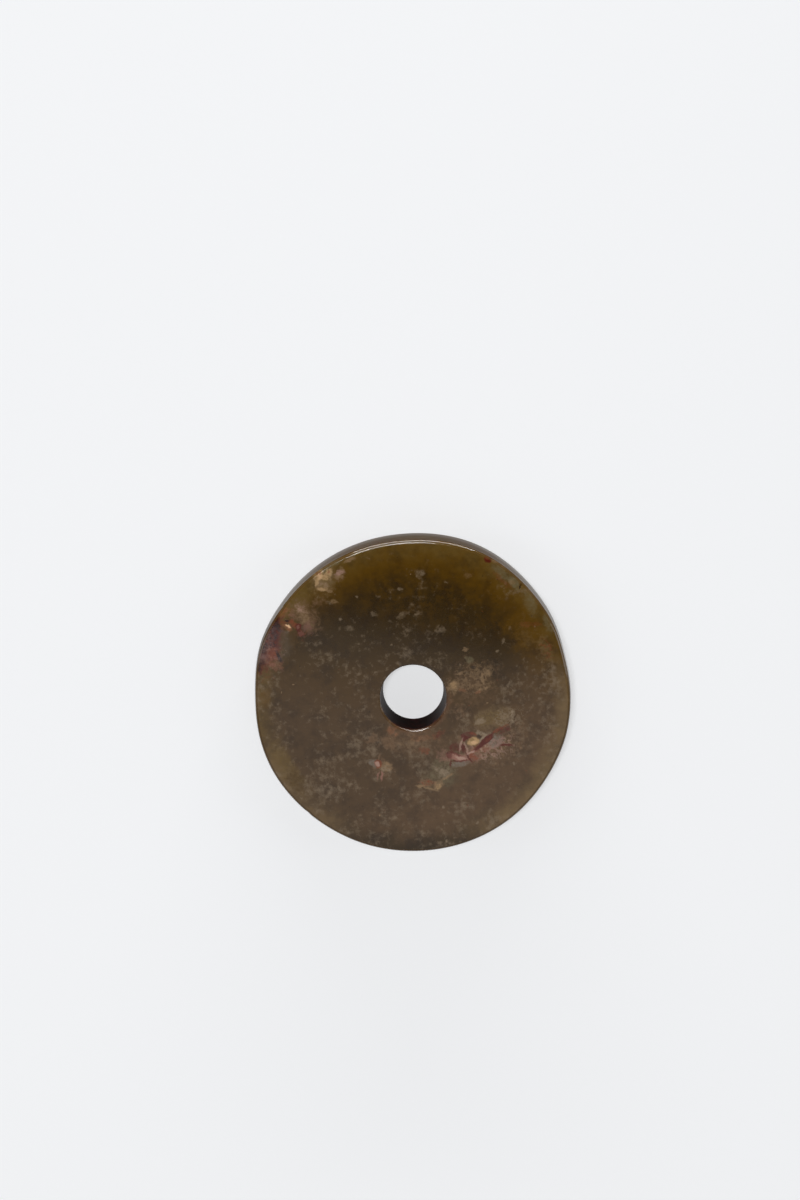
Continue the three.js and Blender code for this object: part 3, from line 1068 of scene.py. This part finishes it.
@dataclass
class JadeDisc:
    """The stone: a thick flat ring, ground by hand, with a tapered hole drilled through its middle."""

    radius: float = 50.0
    thickness: float = FRONT
    mouth_radius: float = 10.4
    exit_radius: float = 9.5
    hole_shift: Pair = (0.15, -0.1)
    rim_bulge: float = 0.2
    slope_width: float = 0.85
    slope_angle: float = 28.0
    slope_inner_round: float = 0.14
    slope_outer_round: float = 0.6
    back_round: float = 1.2
    mouth_round: float = 0.45
    exit_round: float = 0.5
    facets_around: int = 432
    spacing: float = 0.52
    back_spacing: float = 1.0
    clearance: float = 0.01
    weld: float = 0.001  # points nearer than this are one point
    seam: float = 0.005  # and so are points nearer than this where the turned ring closes
    slope_inner_steps: int = 6
    slope_outer_steps: int = 7
    back_steps: int = 8
    mouth_steps: int = 6
    exit_steps: int = 5
    swells: tuple[Swell, ...] = (
        Swell(13, 8, -0.62),
        Swell(67, 14, 0.75),
        Swell(160, 7, 0.4),
        Swell(181, 7, -0.38),
        Swell(208, 8, 0.25),
        Swell(238, 8, -0.12),
        Swell(270, 14, -0.15),
        Swell(328, 10, -0.28),
        Swell(357, 6, -0.22),
    )
    dents: tuple[Dent, ...] = (
        Dent("nick_in_mouth", (-3.7, 9.9, 13.8), (-0.3, 0.9, -0.5), 0.3, 0.9),
        Dent("pit_by_rim", (33.6, 35.5, 14), (0, 0, -1), 0.12, 0.7),
        Dent("glint_ledge", (-38.9, 21.6, 14), (0, 0, -1), 0.1, 1.1),
        Dent("rim_bruise", (-41.2, 27.9, 13.7), (0.8, -0.5, -0.4), 0.14, 1.2),
        Dent("rim_bruise_low", (-33.0, -37.0, 13.7), (0.7, 0.7, -0.4), 0.14, 1.1),
    )
    finish: JadeFinish = field(default_factory=JadeFinish)
    bore_finish: BoreFinish = field(default_factory=BoreFinish)

    @property
    def wall_end(self) -> float:
        """The radius where the rim's wall meets its worn edges."""
        return self.radius - self.rim_bulge

    @property
    def slope_drop(self) -> float:
        """How far down the rim's wall the worn slope reaches."""
        return self.slope_width * math.tan(math.radians(self.slope_angle))

    def places(self, stone: bpy.types.Object) -> np.ndarray:
        """Returns the x, y and z of every vertex, in millimetres, as three rows."""
        flat = np.empty(3 * len(stone.data.vertices))
        stone.data.vertices.foreach_get("co", flat)
        return flat.reshape(-1, 3).T / MM

    def choose(self, stone: bpy.types.Object, test: Callable[..., np.ndarray]) -> None:
        """Selects only the vertices that pass a test of their place, and ends in edit mode.

        Args:
            stone: the mesh object.
            test: takes the x, y and z of all vertices, in millimetres, and says which are chosen.
        """
        if bpy.context.mode != "OBJECT":
            bpy.ops.object.mode_set(mode="OBJECT")
        bpy.context.tool_settings.mesh_select_mode = (True, False, False)
        for parts in (stone.data.edges, stone.data.polygons):
            parts.foreach_set("select", np.zeros(len(parts), dtype=bool))
        stone.data.vertices.foreach_set("select", test(*self.places(stone)))
        bpy.ops.object.mode_set(mode="EDIT")

    def push(self, move: Vector, reach: float, falloff: Falloff) -> None:
        """Moves what is chosen, and less and less what lies around it, and leaves edit mode.

        Args:
            move: how far, in millimetres.
            reach: how far around it the move is felt.
            falloff: how the move fades.
        """
        bpy.ops.transform.translate(
            value=move * MM,
            use_proportional_edit=True,
            proportional_edit_falloff=falloff.value,
            proportional_size=reach * MM,
        )
        bpy.ops.object.mode_set(mode="OBJECT")

    def round_corner(self, stone: bpy.types.Object, x: float, z: float, reach: float, steps: int) -> None:
        """Rounds one corner of the flat section.

        Args:
            stone: the mesh object.
            x: the corner's radius from the axis.
            z: the corner's height.
            reach: how far along its two sides the round goes.
            steps: how many facets it has.
        """
        near = 0.05
        arc = 0.5  # the profile that is part of a circle
        self.choose(stone, lambda at_x, at_y, at_z: np.hypot(at_x - x, at_z - z) < near)
        bpy.ops.mesh.bevel(affect="VERTICES", offset=reach * MM, segments=steps, profile=arc)

    def saw_section(self) -> bpy.types.Object:
        """Makes the flat section of the ring, from a plane cut and rounded to its worn profile.

        Returns:
            The section as a closed line in the plane of X and Z.
        """
        bpy.ops.object.select_all(action="DESELECT")
        middle = (self.exit_radius + self.wall_end) / 2 * MM
        height = self.thickness * MM
        bpy.ops.mesh.primitive_plane_add(
            size=1, location=(middle, 0, height / 2), rotation=(math.pi / 2, 0, 0)
        )
        stone = bpy.context.object
        stone.name = stone.data.name = "bi_disc"
        bpy.ops.transform.resize(value=((self.wall_end - self.exit_radius) * MM, 1, height))
        bpy.ops.object.transform_apply(location=True, rotation=True, scale=True)
        self.choose(stone, lambda x, y, z: (x < self.radius / 2) & (z > self.thickness / 2))
        bpy.ops.transform.translate(value=((self.mouth_radius - self.exit_radius) * MM, 0, 0))
        bpy.ops.mesh.select_all(action="SELECT")
        slope = math.radians(self.slope_angle)
        bpy.ops.mesh.bisect(
            plane_co=((self.wall_end - self.slope_width) * MM, 0, height),
            plane_no=(math.sin(slope), 0, math.cos(slope)),
            clear_outer=True,
            threshold=self.weld * MM,
        )
        slope_start, slope_end = self.wall_end - self.slope_width, self.thickness - self.slope_drop
        self.round_corner(stone, slope_start, self.thickness, self.slope_inner_round, self.slope_inner_steps)
        self.round_corner(stone, self.wall_end, slope_end, self.slope_outer_round, self.slope_outer_steps)
        self.round_corner(stone, self.wall_end, 0, self.back_round, self.back_steps)
        self.round_corner(stone, self.exit_radius, 0, self.exit_round, self.exit_steps)
        self.round_corner(stone, self.mouth_radius, self.thickness, self.mouth_round, self.mouth_steps)
        bpy.ops.mesh.select_all(action="SELECT")
        bpy.ops.mesh.delete(type="ONLY_FACE")
        bpy.ops.object.mode_set(mode="OBJECT")
        return stone

    def divide_long_sides(self, stone: bpy.types.Object) -> None:
        """Divides the section's long sides, so that the turned surface can take fine relief.

        Args:
            stone: the section.
        """
        sides = []
        shortest = 1  # millimetres: shorter sides belong to the rounds
        for edge in stone.data.edges:
            start, end = (stone.data.vertices[i].co / MM for i in edge.vertices)
            length = (end - start).length
            on_back = max(start.z, end.z) < self.back_round / 4
            cuts = math.ceil(length / (self.back_spacing if on_back else self.spacing)) - 1
            if length > shortest:
                sides.append((edge.index, cuts))
        for index, cuts in sides:
            bpy.ops.object.mode_set(mode="EDIT")
            bpy.ops.mesh.select_mode(type="EDGE")
            bpy.ops.mesh.select_all(action="DESELECT")
            bpy.ops.object.mode_set(mode="OBJECT")
            stone.data.edges[index].select = True
            bpy.ops.object.mode_set(mode="EDIT")
            bpy.ops.mesh.subdivide(number_cuts=cuts)
            bpy.ops.object.mode_set(mode="OBJECT")

    def bulge_wall(self, stone: bpy.types.Object) -> None:
        """Swells the middle of the rim's wall, while it is still a section."""
        low, high = self.back_round, self.thickness - self.slope_drop - self.slope_outer_round
        middle, near = (low + high) / 2, 0.3
        self.choose(stone, lambda x, y, z: (abs(x - self.wall_end) < near) & (abs(z - middle) < near))
        self.push(Vector((self.rim_bulge, 0, 0)), (high - low) / 2, Falloff.SOFT)

    def turn_ring(self, stone: bpy.types.Object) -> None:
        """Turns the section round the disc's axis into a closed ring."""
        screw = stone.modifiers.new("turn", "SCREW")
        screw.angle = FULL_TURN
        screw.steps = screw.render_steps = self.facets_around
        screw.use_merge_vertices = True
        screw.merge_threshold = self.weld * MM
        bpy.ops.object.modifier_apply(modifier=screw.name)
        bpy.ops.object.mode_set(mode="EDIT")
        bpy.ops.mesh.select_all(action="SELECT")
        bpy.ops.mesh.remove_doubles(threshold=self.seam * MM)
        bpy.ops.mesh.normals_make_consistent(inside=False)
        bpy.ops.object.mode_set(mode="OBJECT")

    def grind_by_hand(self, stone: bpy.types.Object) -> None:
        """Turns the true ring into the hand-ground one: its rim swells, and its hole moves over."""
        rim_depth = 1.5
        rim_line = self.radius - rim_depth
        half_step = FULL_TURN / 2 / self.facets_around
        one_column = 1.05  # a little over half a step, so that at least one column of points is chosen
        soft_reach = 2.36  # how many spreads out a soft push has faded away
        for swell in self.swells:
            away = Vector((math.cos(math.radians(swell.at)), math.sin(math.radians(swell.at)), 0))
            width = self.radius * math.sin(half_step) * one_column
            self.choose(
                stone,
                lambda x, y, z: (x * away.x + y * away.y > rim_line) & (abs(y * away.x - x * away.y) < width),
            )
            reach = soft_reach * math.radians(swell.spread) * self.radius
            self.push(away * swell.rise, reach, Falloff.SOFT)
        margin = 0.1
        bore = self.mouth_radius + self.mouth_round + margin
        self.choose(stone, lambda x, y, z: np.hypot(x, y) < bore)
        self.push(Vector((*self.hole_shift, 0)), self.wall_end - bore, Falloff.EVEN)

    def press_dents(self, stone: bpy.types.Object) -> None:
        """Presses the pits and nicks into the surface."""
        for dent in self.dents:
            away = np.linalg.norm(self.places(stone) - np.array(dent.at)[:, None], axis=0)
            nearest = np.arange(len(away)) == away.argmin()
            self.choose(stone, lambda x, y, z: nearest)
            self.push(Vector(dent.push).normalized() * dent.depth, dent.reach, Falloff.ROUND)

    def settle(self, stone: bpy.types.Object) -> None:
        """Fits the finished stone into the frame's box, so that it lies where its solid does."""
        low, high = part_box(STONE_NODE)
        places = self.places(stone)
        least, most = Vector(places.min(axis=1)) * MM, Vector(places.max(axis=1)) * MM
        room = 2 * self.clearance * MM
        fit = [(high[axis] - low[axis] - room) / (most[axis] - least[axis]) for axis in (0, 1)]
        centred = Matrix.Translation(-(least + most) / 2 * Vector((1, 1, 0)))
        placed = Matrix.Translation((low + high) / 2 * Vector((1, 1, 0)))
        stone.data.transform(placed @ Matrix.Diagonal((*fit, 1, 1)) @ centred)

    def mark_bore(self, stone: bpy.types.Object) -> None:
        """Gives the bore's wall its own finish, from the exit to just under the worn mouth."""
        top = self.thickness - self.mouth_round
        widest = self.mouth_radius + 1
        steep = 0.5  # a wall's face looks up or down by less than this
        bore_slot = 1
        for face in stone.data.polygons:
            place = face.center / MM
            in_bore = math.hypot(place.x, place.y) < widest
            if in_bore and place.z < top and abs(face.normal.z) < steep:
                face.material_index = bore_slot

    def build(self) -> bpy.types.Object:
        """Makes, places and dresses the stone.

        Returns:
            The finished piece.
        """
        stone = self.saw_section()
        self.divide_long_sides(stone)
        self.bulge_wall(stone)
        self.turn_ring(stone)
        self.grind_by_hand(stone)
        self.settle(stone)
        self.press_dents(stone)
        bpy.ops.object.shade_smooth()
        stone.data.materials.append(self.finish.make())
        stone.data.materials.append(self.bore_finish.make())
        self.mark_bore(stone)
        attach(stone, STONE_BODY)
        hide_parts(STONE_NODE)
        return stone


def add_light(name: str, width: float, depth: float, brightness: float) -> bpy.types.Object:
    """Adds a soft rectangular light, hidden from the camera.

    Args:
        name: what it is called.
        width: its size along X, in metres.
        depth: its size along Y, in metres.
        brightness: how bright its surface is.

    Returns:
        The light, at the origin and facing down.
    """
    lamp = bpy.data.lights.new(name, "AREA")
    lamp.shape = "RECTANGLE"
    lamp.size, lamp.size_y = width, depth
    lamp.energy = brightness * math.pi * width * depth
    light = bpy.data.objects.new(name, lamp)
    light.visible_camera = False
    bpy.context.scene.collection.objects.link(light)
    return light


@dataclass
class SoftBox:
    """A soft rectangular light, hidden from the camera.

    lean is how far it stands from overhead towards the top of the disc and side how far it stands towards
    the right, both in degrees. Its distance, width and depth are in metres.
    """

    name: str
    lean: float
    side: float
    distance: float
    width: float
    depth: float
    brightness: float

    def hang(self) -> bpy.types.Object:
        """Hangs the light so that it faces the disc, and returns it."""
        light = add_light(self.name, self.width, self.depth, self.brightness)
        away = Vector((math.tan(math.radians(self.side)), math.tan(math.radians(self.lean)), 1)).normalized()
        light.location = away * self.distance
        light.rotation_euler = away.to_track_quat("Z", "Y").to_euler()
        return light


@dataclass
class Studio:
    """A plain pale floor, soft lights, a white card for the polish to mirror, and the camera.

    Distances are in metres, angles in degrees, and aim_left, aim_up, lens and film_width in millimetres.
    sky, below and horizon are fades of the room's light, each between two pairs of a direction's slope and
    a strength.
    """

    floor_size: float = 12.0
    floor_tint: str = "#babcbf"
    floor_glow: float = 0.45
    floor_dullness: float = 0.9
    floor_shine: float = 0.1
    camera_distance: float = 1.4
    camera_lean: float = 11.5
    lens: float = 134.1
    film_width: float = 36
    nearest: float = 0.01
    furthest: float = 30
    aim_left: float = 4.03
    aim_up: float = 30.32
    card_height: float = 0.6
    card_edge: float = -0.092
    card_turn: float = -11.0
    card_width: float = 1.6
    card_depth: float = 1.0
    card_brightness: float = 0.4
    sky: tuple[Pair, Pair] = ((0.0, 0.42), (0.8, 0.01))
    below: tuple[Pair, Pair] = ((0.0, 0.66), (0.24, 0.04))
    horizon: tuple[Pair, Pair] = ((-0.04, 0.0), (0.0, 1.0))
    boxes: tuple[SoftBox, ...] = (
        SoftBox("overhead", 10, -3.7, 1.6, 0.34, 0.17, 70),
        SoftBox("far_strip", 84, 0, 1.2, 1.2, 0.1, 42),
        SoftBox("left", 10, -62, 1.2, 0.3, 0.8, 1.5),
        SoftBox("right", 10, 62, 1.2, 0.3, 0.8, 1.5),
    )

    def lay_floor(self) -> bpy.types.Object:
        """Lays the floor and returns it."""
        bpy.ops.object.select_all(action="DESELECT")
        bpy.ops.mesh.primitive_plane_add(size=self.floor_size)
        floor = bpy.context.object
        floor.name = "floor"
        bench = NodeBench("pale_card")
        bench.join(linear(self.floor_tint), bench.shader.inputs["Base Color"])
        bench.join(self.floor_dullness, bench.shader.inputs["Roughness"])
        bench.join(self.floor_shine, bench.shader.inputs["Specular IOR Level"])
        bench.join((1, 1, 1, 1), bench.shader.inputs["Emission Color"])
        bench.join(self.floor_glow, bench.shader.inputs["Emission Strength"])
        floor.data.materials.append(bench.material)
        floor.visible_glossy = False
        return floor

    def hang_card(self) -> bpy.types.Object:
        """Hangs the white card that the polished face mirrors over its lower part, and returns it."""
        card = add_light("white_card", self.card_width, self.card_depth, self.card_brightness)
        turn = math.radians(self.card_turn)
        reach = self.card_depth / 2
        card.location = (reach * math.sin(turn), self.card_edge - reach * math.cos(turn), self.card_height)
        card.rotation_euler = (0, 0, turn)
        return card

    def fill_room(self) -> None:
        """Fills the room with a dim light that is paler at the horizon and dark overhead.

        Below the floor it is dim on the far side and pale on the near side, for the polished walls to mirror.
        """
        world = bpy.data.worlds.new("room")
        world.use_nodes = True
        tree = world.node_tree
        background = tree.nodes["Background"]
        coordinates = tree.nodes.new("ShaderNodeTexCoord")
        parts = tree.nodes.new("ShaderNodeSeparateXYZ")
        tree.links.new(coordinates.outputs["Generated"], parts.inputs[0])

        def fade(axis: str, start: Pair, end: Pair) -> Socket:
            """Returns a fade along one axis, between two pairs of a place and a strength."""
            node = tree.nodes.new("ShaderNodeMapRange")
            tree.links.new(parts.outputs[axis], node.inputs["Value"])
            node.inputs["From Min"].default_value, node.inputs["To Min"].default_value = start
            node.inputs["From Max"].default_value, node.inputs["To Max"].default_value = end
            return node.outputs["Result"]

        sky = fade("Z", *self.sky)
        below = fade("Y", *self.below)
        level = fade("Z", *self.horizon)
        mix = tree.nodes.new("ShaderNodeMix")
        for source, target in ((level, "Factor"), (below, "A"), (sky, "B")):
            tree.links.new(source, mix.inputs[target])
        tree.links.new(mix.outputs["Result"], background.inputs["Strength"])
        background.inputs["Color"].default_value = (1, 1, 1, 1)
        bpy.context.scene.world = world

    def set_camera(self) -> bpy.types.Object:
        """Sets the camera over the disc, with the disc's top edge at the top of the picture.

        Returns:
            The camera.
        """
        lean = math.radians(self.camera_lean)
        back = Vector((0, math.sin(lean), math.cos(lean)))
        right = Vector((1, 0, 0))
        up = back.cross(right)
        low, high = CAD_BOX
        face = Vector(((low.x + high.x) / 2, (low.y + high.y) / 2, high.z))
        place = face + back * self.camera_distance
        aim = face - right * self.aim_left * MM + up * self.aim_up * MM
        sight = (place - aim).normalized()
        across = up.cross(sight).normalized()
        data = bpy.data.cameras.new("camera")
        data.lens = self.lens
        data.sensor_width = self.film_width
        data.clip_start, data.clip_end = self.nearest, self.furthest
        camera = bpy.data.objects.new("camera", data)
        axes = Matrix((across, sight.cross(across), sight)).transposed()
        camera.matrix_world = Matrix.Translation(place) @ axes.to_4x4()
        bpy.context.scene.collection.objects.link(camera)
        bpy.context.scene.camera = camera
        return camera

    def build(self) -> None:
        """Sets the whole studio up."""
        self.set_camera()
        self.lay_floor()
        for box in self.boxes:
            box.hang()
        self.hang_card()
        self.fill_room()
        bpy.context.scene.view_settings.view_transform = "Standard"


def main() -> None:
    """Builds the studio and the disc."""
    logging.basicConfig(level=logging.INFO, format="%(name)s: %(message)s")
    Studio().build()
    log.info("studio: floor, lights and camera")
    stone = JadeDisc().build()
    log.info("%s: %d vertices, %d faces", stone.name, len(stone.data.vertices), len(stone.data.polygons))


if __name__ == "__main__":
    main()
